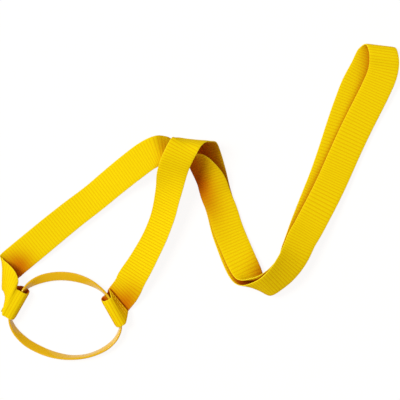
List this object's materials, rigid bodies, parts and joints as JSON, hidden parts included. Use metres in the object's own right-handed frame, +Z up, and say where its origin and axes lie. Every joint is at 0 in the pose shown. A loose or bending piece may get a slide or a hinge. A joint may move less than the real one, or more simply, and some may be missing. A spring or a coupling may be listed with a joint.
{
  "type": "cup holder neck strap",
  "caption": "Neck loop of flat ribbed webbing laid in soft folds, with both ends sewn into eyes round a slim soft band ring that slides in them.",
  "frame": {"origin": "bottom centre of the whole object's box, on the floor it lies on", "axes": "+X to the end of the strap's loop along the laid strap, +Z up off the floor, +Y away from the ring"},
  "size_m": [0.2662, 0.2106, 0.0368],
  "materials": {
    "webbing": "ribbed woven, matt",
    "band": "smooth and glossy"
  },
  "bodies": {
    "strap": {"right_eye": "webbing", "right_strand": "webbing", "outer_arch": "webbing", "outer_middle_run": "webbing", "outer_corner": "webbing", "outer_long_run": "webbing", "loop_end": "webbing", "inner_long_run": "webbing", "inner_corner": "webbing", "inner_middle_run": "webbing", "inner_arch": "webbing", "left_strand": "webbing", "left_fold": "webbing", "left_eye": "webbing"},
    "ring": {"ring": "band"}
  },
  "joints": [
    {"name": "ring_turn", "type": "hinge", "parent": "strap", "child": "ring", "pos_m": [-0.08842, -0.07774, 0.00466], "axis": [0, 0, 1], "range_deg": [-4, 4]}
  ]
}
